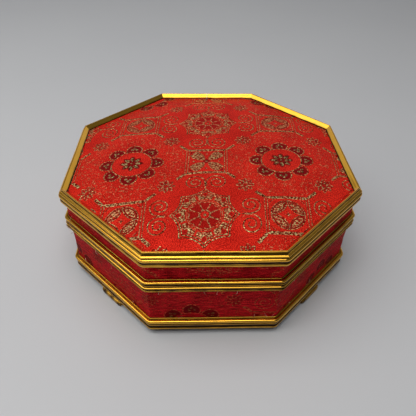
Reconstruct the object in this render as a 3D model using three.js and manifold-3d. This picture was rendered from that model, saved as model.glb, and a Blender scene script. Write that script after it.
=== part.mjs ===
import * as THREE from 'three';
import { mergeVertices } from 'three/addons/utils/BufferGeometryUtils.js';
import Module from 'manifold-3d';

// Octagonal musical jewelry box, closed. Millimetres, +Z up, the front is -Y.
// The origin is the middle of the four feet's undersides.
// Every size across the box is measured between opposite flat sides.

// Boards
const BOARD_ACROSS = 182;
const BOARD_WALL = 3;
const TOP_PANEL = 3;
const FLOOR_PANEL = 3;

// Heights of the three storeys, from the floor up
const FOOT_HEIGHT = 4;
const BASE_HEIGHT = 41;
const LID_HEIGHT = 24;

// Low lip of the base that stands up inside the lid and keeps it in place
const LOCATING_LIP_WALL = 1.5;
const LOCATING_LIP_RISE = 3;
const LID_PLAY = 0.5;

// Brocade
const BAND_THICKNESS = 1.2;
const BAND_CORNER_RADIUS = 2;
const PAD_RISE = 6;

// Pressed brass trim
const SHEET = 0.8;
const TRIM_PROJECTION = 3;
const TOP_LIP_OVERLAP = 1;
const TOP_FLANGE_DEPTH = 2;
const TOP_FRAME_RISE = 3.2;
const TOP_FRAME_HEIGHT = 10;
const LID_RIM_HEIGHT = 4.3;
const BASE_RIM_HEIGHT = 3.4;
const BOTTOM_MOULDING_HEIGHT = 9;
const BOTTOM_FOLD_WIDTH = 6;
const MITRE_RADIUS = 0.4;
const BUTT_JOINT_WIDTH = 0.4;

// Feet
const FOOT_WIDTH = 19;
const FOOT_DEPTH = 8;
const FOOT_OVERHANG = 3;
const FOOT_ROUNDING = 1.2;

// Space between pieces that touch
const FIT_GAP = 0.3;

// Heights and half widths that follow from the sizes above
const seamZ = FOOT_HEIGHT + BASE_HEIGHT;
const lipZ = seamZ + LID_HEIGHT;
const panelTopZ = lipZ - TOP_FLANGE_DEPTH;
const lidBottomZ = seamZ + FIT_GAP / 2;
const baseTopZ = seamZ - FIT_GAP / 2;
const boardHalf = BOARD_ACROSS / 2;
const lidInnerHalf = boardHalf - BOARD_WALL;
const lipOuterHalf = lidInnerHalf - LID_PLAY;
const baseInnerHalf = lipOuterHalf - LOCATING_LIP_WALL;
const bandInnerHalf = boardHalf + FIT_GAP;
const bandOuterHalf = bandInnerHalf + BAND_THICKNESS;
const trimBackHalf = bandOuterHalf + FIT_GAP;
const rimFoldHalf = lidInnerHalf + FIT_GAP;
const topLipHalf = boardHalf - TOP_LIP_OVERLAP;
const padHalf = topLipHalf - FIT_GAP;

const CORNERS = 8;
const ARC_STEPS = 3;
const STATIONS = CORNERS * (ARC_STEPS + 1);
const HALF_CORNER = Math.PI / CORNERS;
const FRONT = -Math.PI / 2;
const PAD_CROWN_POWER = 4;

const brass = { color: 0xb8892e, roughness: 0.28, metalness: 1 };
const brocade = { color: 0xb3161a, roughness: 0.6, metalness: 0 };
const board = { color: 0x5a1418, roughness: 0.85, metalness: 0 };

// Corner radius of a wall with the given half width, concentric with the brocade's corners
function concentricRadius(half) {
  return Math.max(MITRE_RADIUS, BAND_CORNER_RADIUS + half - bandOuterHalf);
}

// Point of the octagon with rounded corners, at one of the stations round it
function octagonPoint(half, radius, station) {
  const corner = Math.floor(station / (ARC_STEPS + 1)) % CORNERS;
  const step = station % (ARC_STEPS + 1);
  const middle = FRONT + HALF_CORNER * (2 * corner + 1);
  const angle = middle + HALF_CORNER * (2 * step / ARC_STEPS - 1);
  const rounding = Math.min(radius, half);
  const reach = (half - rounding) / Math.cos(HALF_CORNER);
  const x = reach * Math.cos(middle) + rounding * Math.cos(angle);
  const y = reach * Math.sin(middle) + rounding * Math.sin(angle);
  return [x, y];
}

// Solid of an outline swept round the octagon. The outline is a list of [half width, height, corner radius],
// closed on itself or with both ends on the axis, and the corner radius may be left out.
function octagonGeometry(outline, closed) {
  const rows = closed ? [...outline, outline[0]] : outline;
  const profile = rows.map(([half, z]) => new THREE.Vector2(half, z));
  const lathe = new THREE.LatheGeometry(profile, STATIONS);
  const position = lathe.getAttribute('position');
  for (let station = 0; station <= STATIONS; station += 1) {
    rows.forEach(([half, z, radius], row) => {
      const rounding = radius === undefined ? concentricRadius(half) : radius;
      const [x, y] = octagonPoint(half, rounding, station % STATIONS);
      position.setXYZ(station * rows.length + row, x, y, z);
    });
  }
  return lathe;
}

function merged(geometry) {
  const bare = geometry.clone();
  bare.deleteAttribute('normal');
  bare.deleteAttribute('uv');
  return mergeVertices(bare, 1e-5);
}

// Merged copy without the triangles that shrank to nothing on the axis, with its faces pointing out
function closedGeometry(geometry) {
  const joined = merged(geometry);
  const index = joined.getIndex().array;
  const position = joined.getAttribute('position');
  const corner = [new THREE.Vector3(), new THREE.Vector3(), new THREE.Vector3()];
  const kept = [];
  let volume = 0;
  for (let i = 0; i < index.length; i += 3) {
    const [a, b, c] = [index[i], index[i + 1], index[i + 2]];
    if (a !== b && b !== c && c !== a) {
      kept.push(a, b, c);
      [a, b, c].forEach((vertex, k) => corner[k].fromBufferAttribute(position, vertex));
      volume += corner[0].dot(corner[1].clone().cross(corner[2]));
    }
  }
  if (volume < 0) {
    for (let i = 0; i < kept.length; i += 3) {
      [kept[i + 1], kept[i + 2]] = [kept[i + 2], kept[i + 1]];
    }
  }
  joined.setIndex(kept);
  return joined;
}

const wasm = await Module();
wasm.setup();

function toSolid(geometry) {
  const closed = closedGeometry(geometry);
  const vertProperties = Float32Array.from(closed.getAttribute('position').array);
  const triVerts = Uint32Array.from(closed.getIndex().array);
  return new wasm.Manifold(new wasm.Mesh({ numProp: 3, vertProperties, triVerts }));
}

function toGeometry(solid) {
  const mesh = solid.getMesh();
  const geometry = new THREE.BufferGeometry();
  geometry.setAttribute('position', new THREE.BufferAttribute(Float32Array.from(mesh.vertProperties), 3));
  geometry.setIndex(Array.from(mesh.triVerts));
  return geometry;
}

const box = new THREE.Group();

function addMesh(name, geometry, look) {
  const shaded = geometry.clone();
  shaded.computeVertexNormals();
  const mesh = new THREE.Mesh(shaded, new THREE.MeshStandardMaterial(look));
  mesh.name = name;
  box.add(mesh);
  return mesh;
}

// Lid's rigid shell: the top panel and eight walls, open underneath
const lidBoardBottomZ = lidBottomZ + SHEET + FIT_GAP;
const lidCeilingZ = panelTopZ - TOP_PANEL;
addMesh('lid_board', closedGeometry(octagonGeometry([
  [0, lidCeilingZ],
  [lidInnerHalf, lidCeilingZ],
  [lidInnerHalf, lidBoardBottomZ],
  [boardHalf, lidBoardBottomZ],
  [boardHalf, panelTopZ],
  [0, panelTopZ],
], false)), board);

// Padded top: flat underneath, a short upright edge inside the brass lip, then a crown, steepest at the edge.
// The crown's points are shares of the way in from the edge to the middle.
const padEdgeZ = lipZ - FIT_GAP;
const padCrown = [0, 0.03, 0.07, 0.12, 0.18, 0.26, 0.38, 0.55, 1].map((inset) => {
  const rise = 1 - (1 - inset) ** PAD_CROWN_POWER;
  return [padHalf * (1 - inset), padEdgeZ + rise * PAD_RISE];
});
addMesh('lid_pad', closedGeometry(octagonGeometry([
  [0, panelTopZ + FIT_GAP],
  [padHalf, panelTopZ + FIT_GAP],
  ...padCrown,
], false)), brocade);

// Brocade bands round the lid and the base, tucked behind the trim
function bandGeometry(bottomZ, topZ) {
  return closedGeometry(octagonGeometry([
    [bandInnerHalf, bottomZ],
    [bandOuterHalf, bottomZ],
    [bandOuterHalf, topZ],
    [bandInnerHalf, topZ],
  ], true));
}
const baseBoardBottomZ = FOOT_HEIGHT + SHEET + FIT_GAP;
const baseBoardTopZ = baseTopZ - SHEET - FIT_GAP;
addMesh('lid_band', bandGeometry(lidBoardBottomZ, panelTopZ), brocade);
addMesh('base_band', bandGeometry(baseBoardBottomZ, baseBoardTopZ), brocade);

// Trim section from points that are shares of its projection, from its back face, and of its height.
// Each point is [out, up, corner radius], and the corner radius may be left out.
function trimOutline(points, fromZ, height) {
  return points.map(([out, up, radius]) => {
    const half = trimBackHalf + out * TRIM_PROJECTION;
    return [half, fromZ + up * height, radius];
  });
}

// Frame round the lid's top edge: a crest with a slope down to the brocade inside it, and outside it a steep
// flat, two beads, a hollow and a lower lip. Its corners are mitred down to the first bead and rounded below.
const flangeReach = trimBackHalf - topLipHalf;
const flangeBottomZ = panelTopZ + FIT_GAP;
const crestZ = lipZ + TOP_FRAME_RISE;
const innerSlope = [
  [1, 0.03],
  [0.9, 0.16],
  [0.43, 0.6],
  [0.14, 0.9],
].map(([reach, rise]) => [trimBackHalf - reach * flangeReach, lipZ + rise * TOP_FRAME_RISE, MITRE_RADIUS]);
const turnRadius = concentricRadius(trimBackHalf);
const sideRadius = turnRadius + 1;
const outerSide = trimOutline([
  [0, 0, MITRE_RADIUS],
  [0.1, -0.03, MITRE_RADIUS],
  [0.13, -0.1, MITRE_RADIUS],
  [0.3, -0.16, MITRE_RADIUS],
  [0.47, -0.22, MITRE_RADIUS],
  [0.63, -0.27, MITRE_RADIUS],
  [0.68, -0.32, MITRE_RADIUS],
  [0.63, -0.38, turnRadius],
  [0.73, -0.42, turnRadius],
  [0.92, -0.47, sideRadius],
  [1, -0.53, sideRadius],
  [0.92, -0.59, sideRadius],
  [0.7, -0.65, sideRadius],
  [0.67, -0.73, sideRadius],
  [0.7, -0.77, sideRadius],
  [0.87, -0.81, sideRadius],
  [0.93, -0.87, sideRadius],
  [0.87, -0.94, sideRadius],
  [0.67, -1, sideRadius],
  [0, -1, turnRadius],
], crestZ, TOP_FRAME_HEIGHT);
const topOutline = [
  [topLipHalf, flangeBottomZ, MITRE_RADIUS],
  ...innerSlope,
  ...outerSide,
  [trimBackHalf, flangeBottomZ, turnRadius],
];
const jointDepth = flangeReach + TRIM_PROJECTION + 2 * FIT_GAP;
const jointHeight = TOP_FRAME_HEIGHT + 2 * FIT_GAP;
const buttJoint = new THREE.BoxGeometry(BUTT_JOINT_WIDTH, jointDepth, jointHeight);
buttJoint.translate(0, topLipHalf - FIT_GAP + jointDepth / 2, crestZ - TOP_FRAME_HEIGHT / 2);
const topMoulding = toSolid(octagonGeometry(topOutline, true)).subtract(toSolid(buttJoint));
addMesh('lid_top_moulding', toGeometry(topMoulding), brass);

// Trim folded under the lid's lower rim: a narrow lip, a bead and a thin edge against the brocade
addMesh('lid_rim_moulding', closedGeometry(octagonGeometry([
  [rimFoldHalf, lidBottomZ],
  ...trimOutline([
    [0.6, 0],
    [0.75, 0.05],
    [0.8, 0.19],
    [0.78, 0.32],
    [0.68, 0.44],
    [0.7, 0.57],
    [0.82, 0.69],
    [0.88, 0.79],
    [0.83, 0.89],
    [0.68, 0.95],
    [0.48, 0.97],
    [0.32, 0.925],
    [0.22, 0.89],
    [0.13, 0.95],
    [0.06, 1],
    [0, 0.955],
  ], lidBottomZ, LID_RIM_HEIGHT),
  [trimBackHalf, lidBottomZ + SHEET],
  [rimFoldHalf, lidBottomZ + SHEET],
], true)), brass);

// Trim folded over the base's upper rim: a bead over a thin lower lip
addMesh('base_rim_moulding', closedGeometry(octagonGeometry([
  [rimFoldHalf, baseTopZ],
  [rimFoldHalf, baseTopZ - SHEET],
  [trimBackHalf, baseTopZ - SHEET],
  ...trimOutline([
    [0, -1],
    [0.75, -1],
    [0.86, -0.92],
    [0.84, -0.82],
    [0.66, -0.7],
    [0.6, -0.55],
    [0.62, -0.3],
    [0.78, -0.12],
    [0.8, -0.04],
    [0.67, 0],
  ], baseTopZ, BASE_RIM_HEIGHT),
], true)), brass);

// Base's rigid tray: a floor and eight walls, with the locating lip standing above the rim on the inside
const lipTopZ = seamZ + LOCATING_LIP_RISE;
const baseFloorZ = baseBoardBottomZ + FLOOR_PANEL;
addMesh('base_board', closedGeometry(octagonGeometry([
  [0, baseBoardBottomZ],
  [boardHalf, baseBoardBottomZ],
  [boardHalf, baseBoardTopZ],
  [lipOuterHalf, baseBoardTopZ],
  [lipOuterHalf, lipTopZ],
  [baseInnerHalf, lipTopZ],
  [baseInnerHalf, baseFloorZ],
  [0, baseFloorZ],
], false)), board);

// Trim round the base's lower edge: a fold under the floor, two narrow lines, a bold bead and a thin edge
const foldHalf = trimBackHalf - BOTTOM_FOLD_WIDTH;
addMesh('base_bottom_moulding', closedGeometry(octagonGeometry([
  [foldHalf, FOOT_HEIGHT],
  ...trimOutline([
    [0.4, 0],
    [0.6, 0.03],
    [0.7, 0.09],
    [0.72, 0.17],
    [0.64, 0.23],
    [0.53, 0.28],
    [0.53, 0.39],
    [0.64, 0.46],
    [0.75, 0.53],
    [0.72, 0.59],
    [0.6, 0.635],
    [0.65, 0.69],
    [0.83, 0.75],
    [0.9, 0.83],
    [0.83, 0.91],
    [0.67, 0.96],
    [0.47, 0.965],
    [0.33, 0.935],
    [0.2, 0.96],
    [0.1, 1],
    [0, 1],
  ], FOOT_HEIGHT, BOTTOM_MOULDING_HEIGHT),
  [trimBackHalf, FOOT_HEIGHT + SHEET],
  [foldHalf, FOOT_HEIGHT + SHEET],
], true)), brass);

// Feet: bent tabs under the middle of the diagonal sides, rounded along their outer edges
const footTop = FOOT_HEIGHT - FIT_GAP;
const footOuter = trimBackHalf + FOOT_OVERHANG;
const footRounding = Math.min(FOOT_ROUNDING, 0.4 * footTop);
const footSection = new THREE.Shape();
footSection.moveTo(footOuter - FOOT_DEPTH, 0);
footSection.lineTo(footOuter - footRounding, 0);
footSection.quadraticCurveTo(footOuter, 0, footOuter, footRounding);
footSection.lineTo(footOuter, footTop - footRounding);
footSection.quadraticCurveTo(footOuter, footTop, footOuter - footRounding, footTop);
footSection.lineTo(footOuter - FOOT_DEPTH, footTop);
footSection.closePath();

function footGeometry() {
  const geometry = new THREE.ExtrudeGeometry(footSection, {
    depth: FOOT_WIDTH,
    bevelEnabled: false,
    curveSegments: 4,
  });
  geometry.translate(0, 0, -FOOT_WIDTH / 2);
  geometry.rotateX(Math.PI / 2);
  return closedGeometry(geometry);
}

const footPlaces = {
  foot_front_left: -3 * Math.PI / 4,
  foot_front_right: -Math.PI / 4,
  foot_back_left: 3 * Math.PI / 4,
  foot_back_right: Math.PI / 4,
};
Object.entries(footPlaces).forEach(([name, angle]) => {
  addMesh(name, footGeometry(), brass).rotation.z = angle;
});

export default box;
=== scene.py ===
"""Octagonal musical jewelry box: red and gold brocade panels framed by pressed brass trim, lid closed."""
import math

import bmesh
import bpy
import numpy as np
from mathutils import Matrix, Vector


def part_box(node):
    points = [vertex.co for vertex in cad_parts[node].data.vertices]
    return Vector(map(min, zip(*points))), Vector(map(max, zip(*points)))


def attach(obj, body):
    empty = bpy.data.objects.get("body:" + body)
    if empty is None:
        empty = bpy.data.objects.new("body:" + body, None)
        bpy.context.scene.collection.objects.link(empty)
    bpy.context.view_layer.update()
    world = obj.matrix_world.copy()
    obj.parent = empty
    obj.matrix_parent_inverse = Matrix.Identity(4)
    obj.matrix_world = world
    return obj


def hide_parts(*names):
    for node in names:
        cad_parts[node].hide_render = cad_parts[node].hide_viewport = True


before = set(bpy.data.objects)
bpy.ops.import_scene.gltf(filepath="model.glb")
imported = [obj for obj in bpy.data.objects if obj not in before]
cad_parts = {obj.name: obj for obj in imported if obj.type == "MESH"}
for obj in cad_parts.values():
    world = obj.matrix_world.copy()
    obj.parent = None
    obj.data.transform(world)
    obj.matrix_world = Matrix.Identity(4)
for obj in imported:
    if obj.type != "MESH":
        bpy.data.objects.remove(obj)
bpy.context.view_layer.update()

MM = 0.001
SIDES = 8
HALF_TURN = math.pi / SIDES
TAN = math.tan(HALF_TURN)
FRONT = -math.pi / 2


# Places taken from the CAD nodes
def low(node):
    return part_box(node)[0]


def high(node):
    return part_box(node)[1]


BAND_HALF = high("lid_band")[1]
BAND_RADIUS = 2 * MM
MITRE_MM = 0.4
MITRE = MITRE_MM * MM
PAD_HALF = high("lid_pad")[1]
PAD_TOP = high("lid_pad")[2]
PAD_RISE = 6 * MM
PAD_EDGE = PAD_TOP - PAD_RISE


# Camera, fitted to the photograph
IMAGE_SIZE = 416
FOCAL_PX = 429.1
CAMERA_PLACE = (-0.0100, -0.2494, 0.2354)
CAMERA_TURN = math.radians(2.11)
CAMERA_DOWN = math.radians(40.48)
CAMERA_ROLL = math.radians(0.99)
SENSOR = 36.0


def make_camera():
    data = bpy.data.cameras.new("camera")
    data.sensor_width = SENSOR
    data.lens = FOCAL_PX / IMAGE_SIZE * SENSOR
    data.clip_start = 0.01
    data.clip_end = 20
    camera = bpy.data.objects.new("camera", data)
    bpy.context.scene.collection.objects.link(camera)
    level = Matrix.Rotation(math.pi / 2 - CAMERA_DOWN, 4, "X") @ Matrix.Rotation(CAMERA_ROLL, 4, "Z")
    turned = Matrix.Rotation(-CAMERA_TURN, 4, "Z") @ level
    camera.matrix_world = Matrix.Translation(CAMERA_PLACE) @ turned
    bpy.context.scene.camera = camera


make_camera()


# Node arithmetic
class Field:
    """A number that varies over a surface: a socket of a node tree, with arithmetic that adds Math nodes."""

    def __init__(self, tree, socket):
        self.tree = tree
        self.socket = socket

    def op(self, name, *others, clamp=False):
        return math_node(self.tree, name, self, *others, clamp=clamp)

    def __add__(self, other):
        return self.op("ADD", other)

    __radd__ = __add__

    def __sub__(self, other):
        return self.op("SUBTRACT", other)

    def __rsub__(self, other):
        return math_node(self.tree, "SUBTRACT", other, self)

    def __neg__(self):
        return 0 - self

    def __mul__(self, other):
        return self.op("MULTIPLY", other)

    __rmul__ = __mul__

    def __truediv__(self, other):
        return self.op("DIVIDE", other)

    def __abs__(self):
        return self.op("ABSOLUTE")


def plug(tree, value, socket):
    """Links a field or a socket to an input, or sets the input to a plain value."""
    if isinstance(value, Field):
        value = value.socket
    if isinstance(value, bpy.types.NodeSocket):
        tree.links.new(value, socket)
    else:
        socket.default_value = value


def math_node(tree, name, *values, clamp=False):
    node = tree.nodes.new("ShaderNodeMath")
    node.operation = name
    node.use_clamp = clamp
    for value, socket in zip(values, node.inputs):
        plug(tree, value, socket)
    return Field(tree, node.outputs[0])


def low_of(a, b):
    return a.op("MINIMUM", b)


def high_of(a, *others):
    for other in others:
        a = a.op("MAXIMUM", other)
    return a


def length(a, b):
    return (a * a + b * b).op("SQRT")


def inside(distance, soft):
    """1 where the distance is below nought, 0 where it is above, over a soft edge."""
    return distance.op("MULTIPLY_ADD", -1 / soft, 0.5, clamp=True)


def noise(tree, vector, scale, detail=2.0, roughness=0.5):
    node = tree.nodes.new("ShaderNodeTexNoise")
    plug(tree, vector, node.inputs["Vector"])
    node.inputs["Scale"].default_value = scale
    node.inputs["Detail"].default_value = detail
    node.inputs["Roughness"].default_value = roughness
    return Field(tree, node.outputs["Fac"])


def stretched(tree, vector, factors):
    node = tree.nodes.new("ShaderNodeVectorMath")
    node.operation = "MULTIPLY"
    plug(tree, vector, node.inputs[0])
    node.inputs[1].default_value = factors
    return node.outputs[0]


def attribute(tree, name):
    node = tree.nodes.new("ShaderNodeAttribute")
    node.attribute_name = name
    return node


def mix(tree, amount, first, second):
    node = tree.nodes.new("ShaderNodeMix")
    node.data_type = "RGBA"
    plug(tree, amount, node.inputs["Factor"])
    plug(tree, first, node.inputs[6])
    plug(tree, second, node.inputs[7])
    return node.outputs[2]


def spread(field, from_low, from_high, to_low, to_high):
    node = field.tree.nodes.new("ShaderNodeMapRange")
    plug(field.tree, field, node.inputs["Value"])
    node.inputs["From Min"].default_value = from_low
    node.inputs["From Max"].default_value = from_high
    node.inputs["To Min"].default_value = to_low
    node.inputs["To Max"].default_value = to_high
    return Field(field.tree, node.outputs["Result"])


def new_material(name):
    material = bpy.data.materials.new(name)
    material.use_nodes = True
    tree = material.node_tree
    shader = tree.nodes["Principled BSDF"]
    return material, tree, shader


def object_coords(tree):
    return tree.nodes.new("ShaderNodeTexCoord").outputs["Object"]


def bump(tree, shader, height, distance):
    node = tree.nodes.new("ShaderNodeBump")
    node.inputs["Strength"].default_value = 1.0
    node.inputs["Distance"].default_value = distance
    plug(tree, height, node.inputs["Height"])
    tree.links.new(node.outputs["Normal"], shader.inputs["Normal"])


# The woven pattern. Its unit is the pitch of the octagon-and-square lattice, about 50 mm.
PITCH_MM = 50.2
EDGE = 0.25 / PITCH_MM
THREAD = 0.68 / PITCH_MM


def vesica(along, across, centre, half_length, half_width):
    """Distance to a pointed leaf, for a distance across it that is never negative."""
    back = (half_length ** 2 - half_width ** 2) / (2 * half_width)
    return length(along - centre, across + back) - (back + half_width)


def eightfold(x, y):
    """x and y, neither negative, folded into a wedge round the x axis, and the distance from the middle."""
    reach = length(x, y)
    angle = y.op("ARCTAN2", x).op("PINGPONG", HALF_TURN)
    return reach * angle.op("COSINE"), reach * angle.op("SINE"), reach


def line(distance, width=THREAD):
    return inside(abs(distance) - width / 2, EDGE)


def fill(distance):
    return inside(distance, EDGE)


def disc_motif(x, y):
    """Plain disc with a small flower, inside a ring of eight lobes."""
    fx, fy, reach = eightfold(x, y)
    lobe = length(fx - 0.318, fy) - 0.106
    outside = fill(0.276 - reach)
    petal = vesica(fx, fy, 0.092, 0.047, 0.023)
    trefoil = low_of(length(fx - 0.362, fy) - 0.019, length(fx - 0.326, fy - 0.03) - 0.019)
    gold = high_of(
        line(reach - 0.268),
        line(lobe) * outside,
        fill(trefoil) * 0.9,
        fill(petal) * 0.9,
        fill(reach - 0.014),
    )
    dark = high_of(fill(lobe + 0.01) * outside, fill(petal - 0.018), fill(reach - 0.045))
    return gold, dark, reach


def star_motif(x, y):
    """Eight-pointed star with hollow sides round a flower with eight notched petals."""
    fx, fy, reach = eightfold(x, y)
    hollow = 0.667
    star = 0.322 - length(fx - hollow * math.cos(HALF_TURN), fy - hollow * math.sin(HALF_TURN))
    within = fill(reach - 0.49)
    edge = fx * math.sin(HALF_TURN) - fy * math.cos(HALF_TURN)
    kite = fill(star + 0.046) * fill(0.235 - reach) * fill(0.014 - edge) * within
    diamond = abs(fx - 0.318) + fy * 1.1 - 0.04
    petal = high_of(0.01 - edge, reach - 0.188, 0.078 - reach, 0.022 - length(fx - 0.196, fy))
    gold = high_of(
        line(star) * within,
        line(star + 0.03) * within,
        kite * fill(-diamond) * 0.75,
        line(petal - 0.006, THREAD * 0.6) * fill(reach - 0.21) * 0.8,
        line(reach - 0.214, THREAD * 0.6) * 0.7,
        line(reach - 0.06, THREAD * 0.7),
        fill(reach - 0.017),
    )
    return gold, high_of(fill(petal), fill(diamond + 0.01) * kite)


def spiral(x, y):
    """Two turns of a spiral that grows out of the stem between it and its mirror image."""
    along = high_of(x, y) - 0.548
    across = low_of(x, y) - 0.142
    reach = length(along, across)
    turn = across.op("ARCTAN2", -along) / (2 * math.pi)
    gap = 0.06
    away = abs((reach / gap - turn).op("FRACT") - 0.5) * gap
    stem = fill(low_of(x, y) - THREAD / 2) * fill(abs(high_of(x, y) - 0.5) - 0.055)
    return high_of(fill(away - THREAD / 2) * fill(reach - 0.139) * fill(0.02 - reach), stem)


def frame_band(x, y):
    """Band round a square: a full band along its top and bottom, two thin lines down its sides."""
    outer = high_of(x, y) - 0.258
    level = fill(x - y)
    return high_of(fill(abs(outer) - 0.021) * level * 0.85, line(abs(outer) - 0.017, THREAD * 0.8) * 0.8)


def leaf_square(x, y):
    """Square with four broad leaves, dark corners and a dark middle."""
    along = (x + y) * math.sqrt(0.5)
    across = abs(x - y) * math.sqrt(0.5)
    within = fill(high_of(x, y) - 0.222)
    notch = 0.03 - length(along - 0.3, across)
    leaf = high_of(vesica(along, across, 0.2, 0.17, 0.078), notch)
    corner = 0.375 - x - y
    middle = x + y - 0.058
    dot = length(high_of(x, y) - 0.17, low_of(x, y)) - 0.014
    gold = high_of(fill(leaf) * 0.75 * fill(-corner), fill(dot) * 0.8) * within
    gold = high_of(gold * fill(0.008 - middle), fill(length(x, y) - 0.016))
    return gold, high_of(fill(corner + 0.016) * within, fill(middle) * 0.9)


def ring_square(x, y):
    """Square with a ring of four leaves, end to end, round a four-pointed star."""
    ring = 0.205
    outward = (x + y) * math.sqrt(0.5)
    across = abs(x - y) * math.sqrt(0.5)
    side = ring * math.sqrt(0.5)
    leaf = vesica(across, abs(outward - side), 0, side, ring - side)
    reach = length(x, y)
    within = fill(high_of(x, y) - 0.222)
    spark = x.op("SQRT") + y.op("SQRT") - 0.23
    corner = 0.385 - x - y
    gold = high_of(
        line(leaf, THREAD * 0.8),
        fill(leaf + 0.022) * 0.7,
        fill(spark) * 0.6,
        fill(reach - 0.014),
        line(corner, THREAD * 0.7) * 0.6,
    ) * within
    return gold, high_of(line(leaf + 0.014, 0.012), line(corner + 0.012, 0.014)) * within * 0.8


def small_flower(x, y):
    fx, fy, reach = eightfold(x, y)
    petal = vesica(fx, fy, 0.072, 0.042, 0.021)
    return line(petal, THREAD * 0.7) * 0.85, high_of(fill(petal), fill(reach - 0.03))


def woven_masks(u, v, scroll):
    """Masks of the gold thread and of the deep crimson parts, each from 0 to 1, for lattice coordinates."""
    a, b = u.op("PINGPONG", 1.0), v.op("PINGPONG", 1.0)
    far_a, far_b = 1 - a, 1 - b
    disc_gold, disc_dark, disc_reach = disc_motif(far_a, b)
    star_gold, star_dark = star_motif(a, far_b)
    leaf_gold, leaf_dark = leaf_square(a, b)
    ring_gold, ring_dark = ring_square(far_a, far_b)
    flower_gold, flower_dark = small_flower(abs(a - 0.5), abs(b - 0.5))
    middle = abs((a + b) / 2 - 0.5)
    bar = fill(abs(middle - 0.175) - 0.052) * fill(abs(a - b) - 0.03)
    ground = fill(0.43 - disc_reach) * fill(high_of(far_a, b) - 0.7) * fill(far_a + b - 0.93)
    speckle = inside(abs(scroll - 0.5) - 0.02, 0.02) * ground * 0.35
    gold = high_of(
        disc_gold, star_gold, leaf_gold, ring_gold, flower_gold, bar * 0.9, speckle,
        spiral(a, far_b), frame_band(a, b), frame_band(far_a, far_b),
    )
    dark = high_of(disc_dark * 0.85, star_dark * 0.5, leaf_dark * 0.8, ring_dark, flower_dark * 0.4)
    return gold, dark


SHADE_SHARE = 0.42


def brocade(name, ground, lit, deep, thread, bright, cover_most, streaks):
    """Satin ground with a woven pattern in flat metal thread and deep crimson. The thread hides at most
    cover_most of the ground, and streaks is the strength of the painted sheen streaks along the long level
    floats of the satin. The ground is mixed from a shaded and a lit copy of its colour, and the thread's
    colour is a painted glint where the glint noise is high and a painted dark reflection elsewhere."""
    material, tree, shader = new_material(name)
    coords = attribute(tree, "weave").outputs["Vector"]
    split = tree.nodes.new("ShaderNodeSeparateXYZ")
    plug(tree, coords, split.inputs[0])
    u, v = (Field(tree, split.outputs[i]) for i in range(2))
    gold, dark = woven_masks(u, v, noise(tree, coords, 15.0, 1.0))
    weft = noise(tree, stretched(tree, coords, (40, 260, 1)), 1.0, 2.0, 0.6)
    warp = noise(tree, stretched(tree, coords, (220, 25, 1)), 1.0, 2.0, 0.6)
    floats = noise(tree, stretched(tree, coords, (7, 85, 1)), 1.0, 3.0, 0.65)
    grain = noise(tree, coords, 84.0, 1.5, 0.6)
    streak = noise(tree, stretched(tree, coords, (95, 22, 1)), 1.0, 1.0)
    glint = noise(tree, stretched(tree, coords, (36, 56, 1)), 1.0, 1.5)
    cloud = noise(tree, coords, 2.4, 2.0)
    # The ground mixes a shaded and a lit copy of its colour: fine grain and weave, and painted sheen streaks
    # along the floats.
    grain_and_sheen = (grain - 0.5) * 3.6 + (warp - 0.5) * 1.5 + (cloud - 0.5) * 0.9 + (floats - 0.5) * streaks + 0.5
    shade = [c * SHADE_SHARE for c in ground[:3]] + [1]
    cloth = mix(tree, dark, mix(tree, grain_and_sheen.op("ADD", 0.0, clamp=True), shade, lit), deep)
    # Thread colour: painted glints where the glint noise is high, painted dark reflection elsewhere.
    metal = mix(tree, spread(glint, 0.5, 0.55, 0.0, 1.0), thread, bright)
    cover = (gold * spread(streak, 0.38, 0.54, 0.35, 1.0) * cover_most).op("ADD", 0.0, clamp=True)
    plug(tree, mix(tree, cover, cloth, metal), shader.inputs["Base Color"])
    plug(tree, cover * 0.75 + 0.25, shader.inputs["Metallic"])
    plug(tree, spread(cover, 0, 1, 0.5, 0.22), shader.inputs["Roughness"])
    shader.inputs["Specular IOR Level"].default_value = 0.05
    shader.inputs["Specular Tint"].default_value = (1, 0.3, 0.22, 1)
    height = weft * 0.15 + warp * 0.2 + grain * 0.3 + cover * (glint * 1.6 + 0.1) - dark * 0.1
    bump(tree, shader, height, 0.4 * MM)
    return material


# Colours, linear
SATIN_RED = (0.8, 0.008, 0.006, 1)
SATIN_LIT = (1.0, 0.04, 0.02, 1)
DEEP_CRIMSON = (0.17, 0.0, 0.003, 1)
# Thread colours: the dull one paints the metal's dark reflection, the bright one paints its glints.
THREAD_PAINTED_SHADE = (0.04, 0.018, 0.002, 1)
THREAD_PAINTED_GLINT = (1.0, 0.9, 0.4, 1)
# The side colours are darker copies of the top's, painted shade on the upright walls; the lit one paints the
# satin's sheen streaks, and the side thread colours are dimmer painted glints and dark reflection.
SIDE_RED_SHADED = (0.34, 0.0, 0.004, 1)
SIDE_LIT = (0.78, 0.016, 0.024, 1)
SIDE_CRIMSON_SHADED = (0.1, 0.0, 0.002, 1)
SIDE_THREAD_PAINTED_SHADE = (0.05, 0.012, 0.002, 1)
SIDE_THREAD_PAINTED_GLINT = (0.6, 0.38, 0.12, 1)

top_cloth = brocade("brocade_top", SATIN_RED, SATIN_LIT, DEEP_CRIMSON, THREAD_PAINTED_SHADE, THREAD_PAINTED_GLINT,
                    cover_most=1.0, streaks=0.3)
# The walls take the shaded copy of the brocade, with less thread showing, which paints their gold dimmer.
shaded_side_cloth = brocade("brocade_side_shaded", SIDE_RED_SHADED, SIDE_LIT, SIDE_CRIMSON_SHADED, SIDE_THREAD_PAINTED_SHADE, SIDE_THREAD_PAINTED_GLINT,
                     cover_most=0.36, streaks=4.5)


BRASS_BRIGHT = (0.94, 0.52, 0.06, 1)
BRASS_DULL = (0.76, 0.36, 0.02, 1)
# Groove colour: patina and painted shade in the hollows and folds.
GROOVE_PATINA_AND_SHADE = (0.03, 0.01, 0.001, 1)
DRAWN_MARKS = (40, 6000, 1)


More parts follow.
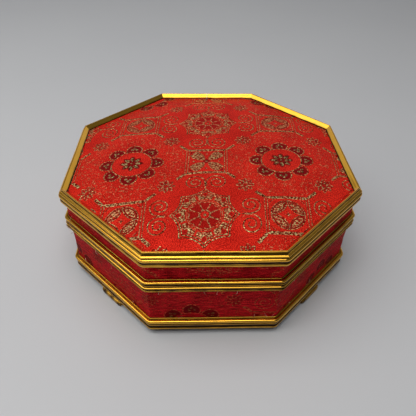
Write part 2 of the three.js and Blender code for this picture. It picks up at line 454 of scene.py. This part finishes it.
def pressed_brass(name):
    """Lacquered brass, bright on the beads and dark in the grooves with patina and painted shade, with fine
    drawing marks and tarnish.
    """
    material, tree, shader = new_material(name)
    groove = Field(tree, attribute(tree, "groove").outputs["Fac"])
    place = object_coords(tree)
    tarnish = noise(tree, place, 70.0, 3.0, 0.6)
    spots = noise(tree, place, 900.0, 2.0, 0.6)
    drawn = noise(tree, stretched(tree, attribute(tree, "trim").outputs["Vector"], DRAWN_MARKS), 1.0, 2.0)
    # Darkening by the groove attribute: patina and painted shade in the grooves, folds and tabs, with
    # tarnish.
    patina_and_shade = (groove * 1.7 + (tarnish - 0.5) * 0.3 + (spots - 0.5) * 0.1 - 0.35).op("ADD", 0.0, clamp=True)
    bright = mix(tree, tarnish, BRASS_BRIGHT, BRASS_DULL)
    plug(tree, mix(tree, patina_and_shade, bright, GROOVE_PATINA_AND_SHADE), shader.inputs["Base Color"])
    shader.inputs["Metallic"].default_value = 1
    plug(tree, patina_and_shade * 0.3 + spots * 0.06 + 0.1, shader.inputs["Roughness"])
    shader.inputs["Coat Weight"].default_value = 0.2
    shader.inputs["Coat Roughness"].default_value = 0.06
    bump(tree, shader, drawn * 0.5 + spots * 0.5, 0.0008 * MM)
    return material


brass = pressed_brass("pressed_brass")


LINING_RED = (0.16, 0.01, 0.016, 1)
LINING_DARK = (0.08, 0.004, 0.008, 1)


def lining_cloth(name):
    """Flat lining cloth with a fine weave."""
    material, tree, shader = new_material(name)
    place = object_coords(tree)
    weave = noise(tree, place, 1500.0, 3.0, 0.6)
    patch = noise(tree, place, 35.0, 3.0)
    plug(tree, mix(tree, weave * 0.5 + patch * 0.5, LINING_DARK, LINING_RED), shader.inputs["Base Color"])
    shader.inputs["Roughness"].default_value = 0.85
    shader.inputs["Sheen Weight"].default_value = 0.3
    bump(tree, shader, weave, 0.15 * MM)
    return material


lining = lining_cloth("lining_cloth")


# Mesh building
def octagon(half, radius, side_steps, arc_steps):
    """Points round an octagon with rounded corners, anticlockwise, and their outward normals.
    It starts in the middle of the side opposite the front, so that the seam is at the back."""
    points = []
    normals = []
    start = SIDES // 2
    halves = side_steps // 2
    for turn in range(SIDES + 1):
        side = (start + turn) % SIDES
        facing = FRONT + side * 2 * HALF_TURN
        out = np.array([math.cos(facing), math.sin(facing)])
        along = np.array([-out[1], out[0]])
        run = (half - radius) * TAN
        steps = range(side_steps + 1)
        if turn == 0:
            steps = range(halves, side_steps + 1)
        if turn == SIDES:
            steps = range(0, halves)
        for i in steps:
            points.append(out * half + along * run * (2 * i / side_steps - 1))
            normals.append(out)
        if turn < SIDES:
            middle = facing + HALF_TURN
            centre = np.array([math.cos(middle), math.sin(middle)]) * (half - radius) / math.cos(HALF_TURN)
            for j in range(1, arc_steps):
                angle = facing + 2 * HALF_TURN * j / arc_steps
                normal = np.array([math.cos(angle), math.sin(angle)])
                points.append(centre + radius * normal)
                normals.append(normal)
    return np.array(points), np.array(normals)


def round_distance(points):
    """Distance round a closed ring of points, counted from the middle of the front side."""
    steps = np.linalg.norm(np.roll(points, -1, axis=0) - points, axis=1)
    total = steps.sum()
    return np.concatenate([[0], np.cumsum(steps)]) - total / 2


def ripple(points, wavelength, seed, waves=14):
    """Smooth random waves through space, about from -1 to 1."""
    rng = np.random.default_rng(seed)
    directions = rng.normal(size=(waves, 3))
    directions /= np.linalg.norm(directions, axis=1)[:, None]
    sizes = rng.uniform(0.6, 1.6, waves)
    phases = rng.uniform(0, 2 * math.pi, waves)
    total = np.zeros(points.shape[:-1])
    for direction, size, phase in zip(directions, sizes, phases):
        total += np.sin((points @ direction) * 2 * math.pi * size / wavelength + phase)
    return total / math.sqrt(waves / 2) / 1.6


def make_piece(name, vertices, faces, material):
    mesh = bpy.data.meshes.new(name)
    mesh.from_pydata([tuple(v) for v in vertices], [], faces)
    mesh.update()
    mesh.materials.append(material)
    piece = bpy.data.objects.new(name, mesh)
    bpy.context.scene.collection.objects.link(piece)
    for polygon in mesh.polygons:
        polygon.use_smooth = True
    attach(piece, "root")
    return piece


def corner_vectors(piece, name, values):
    data = piece.data.attributes.new(name, "FLOAT_VECTOR", "CORNER")
    data.data.foreach_set("vector", np.ascontiguousarray(values, dtype=np.float32).ravel())


def point_values(piece, name, values):
    data = piece.data.attributes.new(name, "FLOAT", "POINT")
    data.data.foreach_set("value", np.ascontiguousarray(values, dtype=np.float32).ravel())


def ring_skin(name, grid, flow, material, flow_name, sharp):
    """Band from rows of points that close on themselves. The band closes on itself too, and flow, which holds
    two numbers for each corner, then has one column more than the grid. Otherwise both ends are capped.
    Edges with an angle over sharp, in degrees, stay sharp."""
    rows, columns = grid.shape[:2]
    wide = flow.shape[1]
    r, c = np.meshgrid(np.arange(rows), np.arange(wide - 1), indexing="ij")
    r, c = r.ravel(), c.ravel()
    next_r, next_c = (r + 1) % rows, (c + 1) % columns
    here, there = r * columns, next_r * columns
    faces = np.stack([here + c, here + next_c, there + next_c, there + c], 1).tolist()
    corners = np.stack([r * wide + c, r * wide + c + 1, next_r * wide + c + 1, next_r * wide + c], 1).ravel()
    if wide == columns:
        first, last = np.arange(rows) * columns, np.arange(rows)[::-1] * columns + columns - 1
        faces += [first.tolist(), last.tolist()]
        corners = np.concatenate([corners, first, last])
    piece = make_piece(name, grid.reshape(-1, 3), faces, material)
    flat = flow.reshape(-1, 2)[corners]
    corner_vectors(piece, flow_name, np.c_[flat, np.zeros(len(flat))])
    piece.data.set_sharp_from_angle(angle=math.radians(sharp))
    return piece


# Trim
TRIM_SIDE_STEPS = 28
TRIM_ARC_STEPS = 8
LEAST_RADIUS = 0.2
SHAKE = 0.07 * MM
LIFT = 0.06 * MM
WEAR = 0.12


def smooth_outline(points, steps=3):
    """Closed Catmull-Rom curve through the outline's points."""
    p = np.array(points, float)
    before, after, later = np.roll(p, 1, 0), np.roll(p, -1, 0), np.roll(p, -2, 0)
    out = []
    for i in range(len(p)):
        for k in range(steps):
            t = k / steps
            out.append(0.5 * (2 * p[i] + (after[i] - before[i]) * t
                              + (2 * before[i] - 5 * p[i] + 4 * after[i] - later[i]) * t ** 2
                              + (3 * p[i] - before[i] - 3 * after[i] + later[i]) * t ** 3))
    return np.array(out)


def trim(name, outline, node, seed, joint=0):
    """Pressed brass strip round the box. The outline's points are half width, height, corner radius and
    groove, all in millimetres but the last, which runs from 0 on a bead to 1 in a groove and sets how much
    painted shade and patina darken the brass there. The joint is the space between its two ends in the middle
    of the back, in millimetres."""
    section = smooth_outline(outline)
    rows = []
    normals = None
    for half, z, radius, _ in section:
        ring, normals = octagon(half * MM, max(radius, LEAST_RADIUS) * MM, TRIM_SIDE_STEPS, TRIM_ARC_STEPS)
        if joint:
            ring = np.concatenate([ring[:1] - [joint / 2 * MM, 0], ring[1:], ring[:1] + [joint / 2 * MM, 0]])
            normals = np.concatenate([normals, normals[:1]])
        rows.append(np.c_[ring, np.full(len(ring), z * MM)])
    grid = np.array(rows)
    shake = ripple(grid[0], 45 * MM, seed)
    lift = ripple(grid[0], 60 * MM, seed + 1)
    wear = ripple(grid, 9 * MM, seed + 2)
    grid[:, :, :2] += normals[None] * (shake * SHAKE)[None, :, None]
    grid[:, :, 2] += lift[None] * LIFT
    around = round_distance(grid[0][:, :2])[:grid.shape[1] + (not joint)]
    across = np.cumsum(np.r_[0, np.linalg.norm(np.diff(section[:, :2], axis=0), axis=1)]) * MM
    flow = np.stack(np.broadcast_arrays(around[None, :], across[:, None]), -1)
    piece = ring_skin(name, grid, flow, brass, "trim", sharp=35)
    # Groove values set how much patina and painted shade darken the brass.
    groove = np.clip(section[:, 3][:, None] + wear * WEAR, 0, 1)
    point_values(piece, "groove", groove)
    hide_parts(node)


# Places of the trims, in millimetres
CLEAR = 0.3
LIP = PAD_EDGE / MM + CLEAR
BACK = BAND_HALF / MM + CLEAR
PROJECTION = 3
FOLD_IN = 4.5
BOTTOM_FOLD_IN = 6
SHEET = 0.8
JOINT = 0.4
CREST_DROP = 0.5


def storey(node):
    """Lower edge and height of a node, in millimetres."""
    return low(node)[2] / MM, (high(node)[2] - low(node)[2]) / MM


def shares(points, level, height, radius=None):
    """Outline points from shares of the trim's projection and of its height, above or below a level.
    The corners follow the brocade's unless a radius is given."""
    rows = []
    for out, up, groove in points:
        half = BACK + out * PROJECTION
        turn = BAND_RADIUS / MM + half - BAND_HALF / MM
        rows.append((half, level + up * height, radius or turn, groove))
    return rows


# The sheet folded in behind the band takes the full groove darkening, painted shade where it is hidden.
def folded(level, reach, groove=1):
    """Outline point of a sheet folded in behind the band."""
    return BACK - reach, level, MITRE_MM, groove


# The frame round the top rises from the brocade to a crest. Outside it are two beads, a hollow and a lip.
top_bottom, top_height = storey("lid_top_moulding")
crest = top_bottom + top_height - CREST_DROP
inner_reach = BACK - PAD_HALF / MM - CLEAR
inner_slope = [
    (1, -0.53, 1), (1, 0.0, 0.9), (0.96, 0.08, 0.6), (0.75, 0.3, 0.15), (0.43, 0.6, 0), (0.14, 0.9, 0),
]
top_inner = [folded(LIP + rise * (crest - LIP), reach * inner_reach, groove)
             for reach, rise, groove in inner_slope]
top_edge = [
    (0.05, -0.01, 0), (0.14, -0.04, 0.1), (0.15, -0.11, 0.8), (0.27, -0.16, 0.3), (0.38, -0.225, 0.2),
    (0.5, -0.25, 0), (0.65, -0.265, 0), (0.71, -0.31, 0.2), (0.66, -0.38, 1),
]
top_side = [
    (0.7, -0.41, 0.7), (0.8, -0.42, 0.1), (0.94, -0.45, 0), (1, -0.52, 0), (0.92, -0.59, 0.5),
    (0.7, -0.65, 1), (0.67, -0.73, 1), (0.7, -0.77, 0.9), (0.87, -0.81, 0.4), (0.93, -0.87, 0.2),
    (0.87, -0.94, 0.6), (0.67, -1, 1), (0, -1, 1), (0, -0.49, 1),
]
top_section = top_inner + shares(top_edge, crest, top_height, MITRE_MM) + shares(top_side, crest, top_height)
trim("lid_top_trim", top_section, "lid_top_moulding", 3, joint=JOINT)

lid_rim_section = [
    (0.5, 0, 1), (0.66, 0.05, 0.8), (0.74, 0.17, 0.4), (0.74, 0.28, 0.6), (0.62, 0.4, 1), (0.64, 0.52, 1),
    (0.8, 0.62, 1), (0.88, 0.72, 0.6), (0.86, 0.83, 0), (0.74, 0.91, 0), (0.52, 0.95, 0), (0.34, 0.95, 0),
    (0.24, 0.88, 0.8), (0.15, 0.87, 1), (0.1, 0.97, 0.2), (0.04, 1, 0), (0, 0.955, 0.6),
]
lid_fold, lid_rim_height = storey("lid_rim_moulding")
trim("lid_rim_trim", [
    folded(lid_fold, FOLD_IN),
    *shares(lid_rim_section, lid_fold, lid_rim_height),
    (BACK, lid_fold + SHEET, BAND_RADIUS / MM, 1),
    folded(lid_fold + SHEET, FOLD_IN),
], "lid_rim_moulding", 11)

base_rim_section = [
    (0, 0, 1), (0.75, 0, 0.9), (0.86, 0.08, 0.6), (0.84, 0.18, 0.4), (0.66, 0.3, 1), (0.6, 0.45, 1),
    (0.64, 0.62, 1), (0.8, 0.72, 0.9), (0.9, 0.82, 0.5), (0.88, 0.92, 0), (0.76, 0.98, 0), (0.5, 1, 0.3),
]
base_fold = high("base_rim_moulding")[2] / MM
trim("base_rim_trim", [
    folded(base_fold, FOLD_IN),
    folded(base_fold - SHEET, FOLD_IN),
    (BACK, base_fold - SHEET, BAND_RADIUS / MM, 1),
    *shares(base_rim_section, *storey("base_rim_moulding")),
], "base_rim_moulding", 23)

bottom_section = [
    (0.4, 0, 1), (0.6, 0.03, 0.8), (0.7, 0.09, 0.4), (0.72, 0.17, 0.3), (0.64, 0.23, 0.8), (0.53, 0.28, 1),
    (0.53, 0.39, 1), (0.64, 0.46, 0.8), (0.75, 0.53, 0.35), (0.72, 0.59, 0.5), (0.6, 0.635, 1),
    (0.65, 0.69, 0.8), (0.83, 0.75, 0.3), (0.92, 0.83, 0), (0.88, 0.9, 0), (0.72, 0.95, 0), (0.46, 0.965, 0),
    (0.34, 0.94, 0.6), (0.27, 0.93, 0.9), (0.19, 0.97, 0.3), (0.1, 1, 0), (0, 1, 0.6),
]
under, bottom_height = storey("base_bottom_moulding")
trim("base_bottom_trim", [
    folded(under, BOTTOM_FOLD_IN, groove=0.7),
    *shares(bottom_section, under, bottom_height),
    (BACK, under + SHEET, BAND_RADIUS / MM, 1),
    folded(under + SHEET, BOTTOM_FOLD_IN),
], "base_bottom_moulding", 37)


# Feet: bent tabs, in millimetres
FOOT_WIDTH = 19
FOOT_OUT = 3
FOOT_DEPTH = 8
FOOT_STEPS = 12
FLAT_SHARE = 0.88
END_ROUND = 0.5
END_LIFT = 0.35
END_DROP = 0.3


def foot(name, angle, seed):
    """Tab with a rounded section, a little smaller at both ends."""
    top = high(name)[2] / MM
    outer = BACK + FOOT_OUT
    inner = outer - FOOT_DEPTH
    section = [(inner, 0.05), (outer - 1.5, 0), (outer - 0.6, 0.15), (outer - 0.15, 0.6), (outer, 1.3),
               (outer - 0.05, top - 1.0), (outer - 0.4, top - 0.3), (outer - 1.1, top), (inner, top)]
    rows = []
    for i in range(FOOT_STEPS + 1):
        across = FOOT_WIDTH * (i / FOOT_STEPS - 0.5)
        end = (max(0, abs(i / FOOT_STEPS - 0.5) * 2 - FLAT_SHARE) / (1 - FLAT_SHARE)) ** 2
        for a, z in section:
            level = min(max(z, END_LIFT * end), top - END_DROP * end)
            rows.append((a - end * END_ROUND * (a > inner), across, level))
    grid = np.array(rows) * MM
    count = len(section)
    faces = []
    for i in range(FOOT_STEPS):
        for j in range(count):
            k = (j + 1) % count
            faces.append([i * count + j, i * count + k, (i + 1) * count + k, (i + 1) * count + j])
    faces += [list(range(count))[::-1], [FOOT_STEPS * count + j for j in range(count)]]
    cosine, sine = math.cos(angle), math.sin(angle)
    turned = grid @ np.array([[cosine, sine, 0], [-sine, cosine, 0], [0, 0, 1]])
    piece = make_piece("tab_" + name, turned, faces, brass)
    piece.data.set_sharp_from_angle(angle=math.radians(50))
    fix_normals(piece)
    # The tabs take much of the groove darkening: painted shade under the box, with patina.
    point_values(piece, "groove", 0.55 + 0.25 * ripple(turned, 6 * MM, seed))
    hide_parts(name)


def fix_normals(piece):
    work = bmesh.new()
    work.from_mesh(piece.data)
    bmesh.ops.recalc_face_normals(work, faces=work.faces)
    work.to_mesh(piece.data)
    work.free()


foot("foot_front_left", -0.75 * math.pi, 50)
foot("foot_front_right", -0.25 * math.pi, 51)
foot("foot_back_left", 0.75 * math.pi, 52)
foot("foot_back_right", 0.25 * math.pi, 53)


# Padded top
LATTICE_ORIGIN = np.array([-2.8, -13.0])
LATTICE_X = np.array([50.0, 1.9])
LATTICE_Y = np.array([2.4, 50.8])
LID_REACH = 90
SKEW_X, BEND_X, PINCH_X, DRAW_X = -3.6, -1.2, 1.1, -0.5
SKEW_Y, BEND_Y, PINCH_Y, DRAW_Y = -1.5, 0.8, -1.1, -2.0


def lid_weave(x, y):
    """Lattice coordinates of the cloth on the lid. It is drawn a little askew towards the edges."""
    x, y = x / MM, y / MM
    a, b = x / LID_REACH, y / LID_REACH
    drawn_x = x + SKEW_X * a * b + BEND_X * a ** 2 + PINCH_X * a * b ** 2 + DRAW_X * a ** 3
    drawn_y = y + SKEW_Y * a * b + BEND_Y * b ** 2 + PINCH_Y * a ** 2 * b + DRAW_Y * b ** 3
    basis = np.stack([LATTICE_X, LATTICE_Y], 1)
    return (np.stack([drawn_x, drawn_y], -1) - LATTICE_ORIGIN) @ np.linalg.inv(basis).T


CLOTH_POINTS = 47
CLOTH_STEPS = 25
FOLD_LIMIT = 0.8 * MM
HELD_REACH = 0.95
WADDING_PRESSURE = 3
LEAST_SLACK, MOST_SLACK = 0.008, -0.022
START_HEIGHT = 0.85


def octagon_reach(x, y):
    """How far out a place is, as a share of the way to the octagon's side."""
    facing = [FRONT + turn * 2 * HALF_TURN for turn in range(SIDES)]
    return np.max([x * math.cos(angle) + y * math.sin(angle) for angle in facing], axis=0)


def cloth_folds():
    """Lets a sheet of cloth, held along the pad's edge, settle over the wadding's pressure.
    The result is how far each of its points lies above or below a smooth bulge."""
    shares_across = np.linspace(-1, 1, CLOTH_POINTS)
    x, y = np.meshgrid(shares_across, shares_across)
    reach = np.clip(octagon_reach(x, y), 0, 1)
    crown = PAD_RISE * (1 - reach ** 4)
    vertices = np.stack([x * PAD_HALF, y * PAD_HALF, crown * START_HEIGHT], -1).reshape(-1, 3)
    corner = np.arange(CLOTH_POINTS ** 2).reshape(x.shape)
    faces = np.stack([corner[:-1, :-1], corner[:-1, 1:], corner[1:, 1:], corner[1:, :-1]], -1).reshape(-1, 4)
    mesh = bpy.data.meshes.new("cloth_sheet")
    mesh.from_pydata([tuple(v) for v in vertices], [], faces.tolist())
    sheet = bpy.data.objects.new("cloth_sheet", mesh)
    scene = bpy.context.scene
    scene.collection.objects.link(sheet)
    held = sheet.vertex_groups.new(name="held")
    held.add([int(i) for i in np.flatnonzero(reach.ravel() > HELD_REACH)], 1.0, "REPLACE")
    slack = sheet.vertex_groups.new(name="slack")
    looseness = 0.5 + 0.5 * np.clip(ripple(vertices, 45 * MM, 307), -1, 1)
    for i, amount in enumerate(looseness):
        slack.add([i], float(amount), "REPLACE")
    settings = sheet.modifiers.new("cloth", "CLOTH").settings
    settings.quality = 6
    settings.mass = 0.3
    settings.tension_stiffness = 15
    settings.compression_stiffness = 5
    settings.shear_stiffness = 3
    settings.bending_stiffness = 0.2
    settings.vertex_group_mass = "held"
    settings.vertex_group_shrink = "slack"
    settings.shrink_min = LEAST_SLACK
    settings.shrink_max = MOST_SLACK
    settings.use_pressure = True
    settings.uniform_pressure_force = WADDING_PRESSURE
    settings.effector_weights.gravity = 0
    for step in range(1, CLOTH_STEPS + 1):
        scene.frame_set(step)
    settled = sheet.evaluated_get(bpy.context.evaluated_depsgraph_get()).data
    heights = np.empty(len(settled.vertices) * 3)
    settled.vertices.foreach_get("co", heights)
    heights = heights.reshape(CLOTH_POINTS, CLOTH_POINTS, 3)[:, :, 2]
    scene.frame_set(1)
    bpy.data.objects.remove(sheet, do_unlink=True)
    smooth = np.stack([crown, reach ** 2, x, y, np.ones_like(x)], -1).reshape(-1, 5)
    loose = reach.ravel() <= HELD_REACH
    fit = np.linalg.lstsq(smooth[loose], heights.ravel()[loose], rcond=None)[0]
    folds = np.where(loose, heights.ravel() - smooth @ fit, 0).reshape(x.shape)
    return np.clip(folds, -FOLD_LIMIT, FOLD_LIMIT)


def spline_weights(t):
    """Weights of the four nearest samples, for a place a share t of the way between the middle two."""
    first, last = (1 - t) ** 3, t ** 3
    second, third = 3 * last - 6 * t ** 2 + 4, 3 * t + 3 * t ** 2 - 3 * last + 1
    return np.stack([first, second, third, last]) / 6


def sampled(field, x, y):
    """Smooth values of the sheet's square field at places on the lid."""
    last = len(field) - 1
    column, row = (x / PAD_HALF + 1) / 2 * last, (y / PAD_HALF + 1) / 2 * last
    c, r = np.floor(column).astype(int), np.floor(row).astype(int)
    across, up = spline_weights(column - c), spline_weights(row - r)
    total = np.zeros(x.shape)
    for i in range(4):
        for j in range(4):
            total += field[np.clip(r + i - 1, 0, last), np.clip(c + j - 1, 0, last)] * up[i] * across[j]
    return total


def lid_pad():
    """The brocade over its wadding, from rings that run in from the edge to the middle."""
    insets = np.r_[0, 0.004, 0.01, 0.018, np.linspace(0.03, 0.985, 56)]
    side_steps, arc_steps = 28, 6
    rows = []
    ring, _ = octagon(PAD_HALF, MITRE, side_steps, arc_steps)
    bottom = low("lid_pad")[2]
    rows.append(np.c_[ring * 0.6, np.full(len(ring), bottom)])
    rows.append(np.c_[ring, np.full(len(ring), bottom)])
    rows.append(np.c_[ring, np.full(len(ring), (bottom + PAD_EDGE) / 2)])
    for inset in insets:
        half = PAD_HALF * (1 - inset)
        radius = min(half, MITRE + 1.3 * (PAD_HALF - half))
        ring, _ = octagon(half, radius, side_steps, arc_steps)
        rise = PAD_RISE * (1 - (1 - inset) ** 4)
        rows.append(np.c_[ring, np.full(len(ring), PAD_EDGE + rise)])
    grid = np.array(rows)
    crown = grid[3:]
    edge = np.clip(insets / 0.05, 0, 1)[:, None]
    near = np.exp(-insets / 0.1)[:, None]
    waves = ripple(crown, 38 * MM, 71) * 0.22 + ripple(crown, 13 * MM, 72) * 0.05 - 0.3
    crown[:, :, 2] += edge * waves * MM
    crown[:, :, 2] += edge * near * ripple(crown, 9 * MM, 73) * 0.14 * MM
    crown[:, :, 2] += edge * sampled(cloth_folds(), crown[:, :, 0], crown[:, :, 1])
    count, columns = grid.shape[:2]
    points = list(grid.reshape(-1, 3)) + [np.array([0, 0, grid[-1, :, 2].mean()]), np.array([0, 0, bottom])]
    faces = []
    for r in range(count - 1):
        for c in range(columns):
            n = (c + 1) % columns
            faces.append([r * columns + c, r * columns + n, (r + 1) * columns + n, (r + 1) * columns + c])
    top, base = len(points) - 2, len(points) - 1
    last = (count - 1) * columns
    for c in range(columns):
        n = (c + 1) % columns
        faces.append([last + c, last + n, top])
        faces.append([n, c, base])
    piece = make_piece("padded_top", points, faces, top_cloth)
    vertices = np.array(points)
    weave = lid_weave(vertices[:, 0], vertices[:, 1])
    loops = np.empty(len(piece.data.loops), dtype=np.int64)
    piece.data.loops.foreach_get("vertex_index", loops)
    corner_vectors(piece, "weave", np.c_[weave[loops], np.zeros(len(loops))])
    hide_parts("lid_pad")


lid_pad()


# Brocade bands
CLOTH_THICKNESS = 1.2 * MM
BAND_SIDE_STEPS = 40
BAND_ARC_STEPS = 8
INNER_RADIUS = 0.8 * MM
LEVEL_FOLDS = np.array([1, 1, 4.0])


def band(name, node, seed, shift, wrinkle, rows_up):
    """Cloth round the side, slightly padded between the trims, with wrinkles along it."""
    bottom, top = low(node)[2], high(node)[2]
    inner = BAND_HALF - CLOTH_THICKNESS
    heights = np.linspace(bottom, top, rows_up)
    share = np.linspace(0, 1, rows_up)
    rows = []
    for z in heights:
        ring, normals = octagon(BAND_HALF, BAND_RADIUS, BAND_SIDE_STEPS, BAND_ARC_STEPS)
        rows.append(np.c_[ring, np.full(len(ring), z)])
    outer = np.array(rows)
    belly = np.sin(share * math.pi)[:, None]
    tall = outer * LEVEL_FOLDS
    folds = ripple(tall, 55 * MM, seed) * 0.5 + ripple(tall, 26 * MM, seed + 1) * 0.25
    push = belly ** 0.5 * (0.1 + wrinkle * folds) * MM
    outer[:, :, :2] += normals[None] * push[:, :, None]
    back_ring, _ = octagon(inner, INNER_RADIUS, BAND_SIDE_STEPS, BAND_ARC_STEPS)
    inner_rows = np.array([np.c_[back_ring, np.full(len(back_ring), z)] for z in (top, bottom)])
    grid = np.concatenate([outer, inner_rows])
    around = round_distance(outer[0][:, :2]) / MM / PITCH_MM + shift[0]
    up = np.r_[heights, top + CLOTH_THICKNESS, bottom - CLOTH_THICKNESS] / MM / PITCH_MM + shift[1]
    flow = np.stack(np.broadcast_arrays(around[None, :], up[:, None]), -1)
    piece = ring_skin(name, grid, flow, shaded_side_cloth, "weave", sharp=60)
    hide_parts(node)


band("lid_side_cloth", "lid_band", 101, (0, 1 - 70 / PITCH_MM), 0.12, 16)
band("base_side_cloth", "base_band", 131, (1 + 13 / PITCH_MM, -4.7 / PITCH_MM), 0.22, 30)


# Loose threads of the brocade, where its cut edges fray out from behind the trim
THREAD_RADIUS = 0.11 * MM
THREAD_STEPS = 10
THREAD_SIDES = 5
CURL = 0.35
FRONT_SIDE, LEFT_SIDE, RIGHT_SIDE = 0, 7, 1
# Side of the box, place along it, height, run along it, rise and how far it stands off, in millimetres
LOOSE_ENDS = [
    (FRONT_SIDE, -7, 41, 2.5, -4.5, 1.2), (FRONT_SIDE, 3, 40.5, -1.5, -4, 1.5),
    (FRONT_SIDE, 12, 41, 3, -3, 1.0), (FRONT_SIDE, 14, 41, -1, -5, 0.8),
    (FRONT_SIDE, 24, 12.5, 1.5, 4, 1.2), (FRONT_SIDE, 34, 13, -2.5, 5, 1.6),
    (FRONT_SIDE, 35, 13, 2, 3.5, 1.4), (FRONT_SIDE, -30, 41, -2, -4, 1.0),
    (FRONT_SIDE, -22, 13, 3, 3, 1.2), (LEFT_SIDE, -34, 52, 5, -7, 4.5),
    (LEFT_SIDE, -30, 42, -5, -4, 4.0), (LEFT_SIDE, -33, 41, -6, 2, 3.5),
    (LEFT_SIDE, -12, 40, 3, -5, 1.5), (LEFT_SIDE, 8, 39, -3, -6, 1.5),
    (LEFT_SIDE, 22, 14, 2, 4, 1.6), (LEFT_SIDE, -24, 14, -3, 5, 2.0),
    (RIGHT_SIDE, -28, 41, 3, -5, 1.4), (RIGHT_SIDE, -5, 14, 3, 4, 1.2),
    (RIGHT_SIDE, -24, 14, -2, 3, 1.4), (RIGHT_SIDE, 18, 40, -2, -4, 1.2),
]


def loose_threads():
    points = []
    faces = []
    for index, (side, along, up, run, rise, off) in enumerate(LOOSE_ENDS):
        facing = FRONT + side * 2 * HALF_TURN
        out = np.array([math.cos(facing), math.sin(facing), 0])
        beside = np.array([-out[1], out[0], 0])
        t = np.linspace(0, 1, THREAD_STEPS)[:, None]
        away = BAND_HALF / MM - 0.1 + off * np.sin(t * math.pi * 0.7)
        sideways = along + run * t + CURL * np.sin(2 * math.pi * t + index)
        route = (out * away + beside * sideways + np.array([0, 0, 1]) * (up + rise * t ** 1.3)) * MM
        start = len(points)
        for place in route:
            for k in range(THREAD_SIDES):
                angle = 2 * math.pi * k / THREAD_SIDES
                points.append(place + THREAD_RADIUS * (math.cos(angle) * out + math.sin(angle) * beside))
        for i in range(THREAD_STEPS - 1):
            for k in range(THREAD_SIDES):
                n = (k + 1) % THREAD_SIDES
                faces.append([start + i * THREAD_SIDES + k, start + i * THREAD_SIDES + n,
                              start + (i + 1) * THREAD_SIDES + n, start + (i + 1) * THREAD_SIDES + k])
        faces.append([start + k for k in range(THREAD_SIDES)][::-1])
        faces.append([start + (THREAD_STEPS - 1) * THREAD_SIDES + k for k in range(THREAD_SIDES)])
    fix_normals(make_piece("loose_threads", points, faces, frayed))


FRAYED_RED = (0.45, 0.09, 0.06, 1)
FRAYED_PALE = (0.85, 0.7, 0.5, 1)


def frayed_thread(name):
    material, tree, shader = new_material(name)
    tone = spread(noise(tree, object_coords(tree), 260.0, 2.0), 0.4, 0.6, 0.0, 1.0)
    plug(tree, mix(tree, tone, FRAYED_RED, FRAYED_PALE), shader.inputs["Base Color"])
    shader.inputs["Roughness"].default_value = 0.45
    return material


frayed = frayed_thread("frayed_thread")
loose_threads()


# Boards, lined with plain cloth
for node in ("lid_board", "base_board"):
    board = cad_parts[node]
    board.data.materials.clear()
    board.data.materials.append(lining)


# Floor and light
def make_floor():
    material, tree, shader = new_material("pale_floor")
    cloud = noise(tree, object_coords(tree), 2.5, 3.0)
    plug(tree, mix(tree, cloud, (0.6, 0.6, 0.61, 1), (0.68, 0.68, 0.68, 1)), shader.inputs["Base Color"])
    shader.inputs["Roughness"].default_value = 0.6
    bpy.ops.mesh.primitive_plane_add(size=8, location=(0, 0, 0))
    floor = bpy.context.object
    floor.name = "floor"
    floor.data.materials.append(material)


make_floor()


def soft_box(name, place, target, size, power):
    data = bpy.data.lights.new(name, "AREA")
    data.shape = "RECTANGLE"
    data.size, data.size_y = size
    data.energy = power
    light = bpy.data.objects.new(name, data)
    bpy.context.scene.collection.objects.link(light)
    light.location = place
    light.rotation_euler = (Vector(target) - Vector(place)).to_track_quat("-Z", "Y").to_euler()


soft_box("key", (-0.75, -0.1, 0.5), (0, 0, 0.05), (0.4, 0.4), 0.35)
soft_box("over", (-0.4, -0.24, 1.0), (-0.4, -0.24, 0), (1.4, 1.1), 8.0)
soft_box("lamp", (-0.08, -0.16, 1.04), (-0.08, -0.16, 0), (0.5, 0.14), 1.4)
soft_box("wall", (0, 1.4, 0.42), (0, 0, 0.42), (4.0, 0.8), 3.6)


def make_room():
    """Dim room, lighter above, behind and to the left."""
    world = bpy.data.worlds.new("room")
    bpy.context.scene.world = world
    world.use_nodes = True
    tree = world.node_tree
    split = tree.nodes.new("ShaderNodeSeparateXYZ")
    plug(tree, tree.nodes.new("ShaderNodeTexCoord").outputs["Generated"], split.inputs[0])
    x, y = (Field(tree, split.outputs[i]) for i in range(2))
    level = (y * 0.1 - x * 0.03 + 0.15).op("MAXIMUM", 0.03)
    background = tree.nodes["Background"]
    background.inputs["Color"].default_value = (0.92, 0.95, 1, 1)
    plug(tree, level, background.inputs["Strength"])


make_room()
bpy.context.scene.view_settings.view_transform = "Standard"
